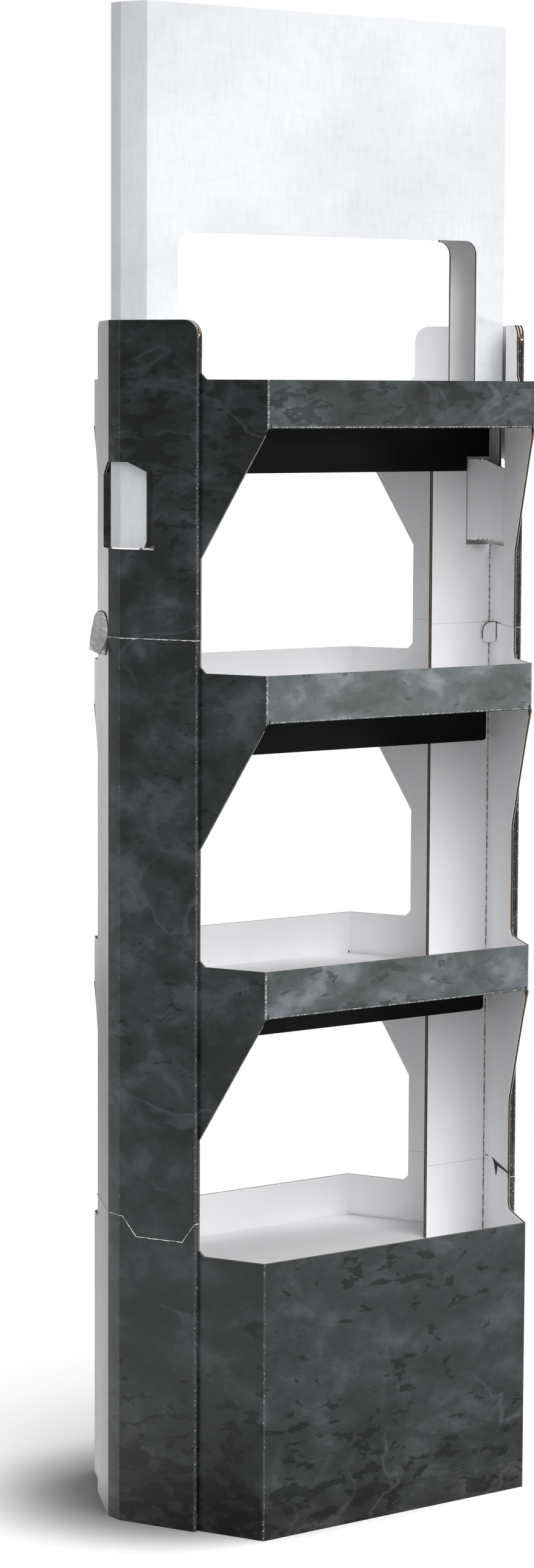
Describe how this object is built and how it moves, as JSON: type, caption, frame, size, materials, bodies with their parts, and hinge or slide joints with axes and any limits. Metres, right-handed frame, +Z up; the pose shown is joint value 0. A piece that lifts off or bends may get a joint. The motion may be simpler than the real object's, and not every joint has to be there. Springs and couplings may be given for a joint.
{
  "type": "cardboard floor display stand",
  "caption": "Folded cardboard floor display stand: open trays with front and rear lips between side columns, on a closed base, under a header card with a window.",
  "frame": {"origin": "bottom centre of the stand, on the floor", "axes": "+Z up, the front lips face -Y, +X to the right seen from the front"},
  "size_m": [0.6, 0.375, 1.858],
  "materials": {
    "slate_printed_board": "satin dark slate print outside, white liner inside",
    "white_header_board": "white print with faint grey clouding",
    "white_riser_board": "plain white liner"
  },
  "bodies": {
    "root": {"header_card": "white_header_board", "upper_sleeve_right": "slate_printed_board", "upper_sleeve_left": "slate_printed_board", "middle_sleeve_right": "slate_printed_board", "middle_sleeve_left": "slate_printed_board", "base_sleeve_right": "slate_printed_board", "base_sleeve_left": "slate_printed_board", "upper_frame_front": "slate_printed_board", "upper_frame_rear": "slate_printed_board", "middle_frame_front": "slate_printed_board", "middle_frame_rear": "slate_printed_board", "base_frame_front": "slate_printed_board", "base_frame_rear": "slate_printed_board", "base_riser": "white_riser_board"}
  },
  "joints": []
}
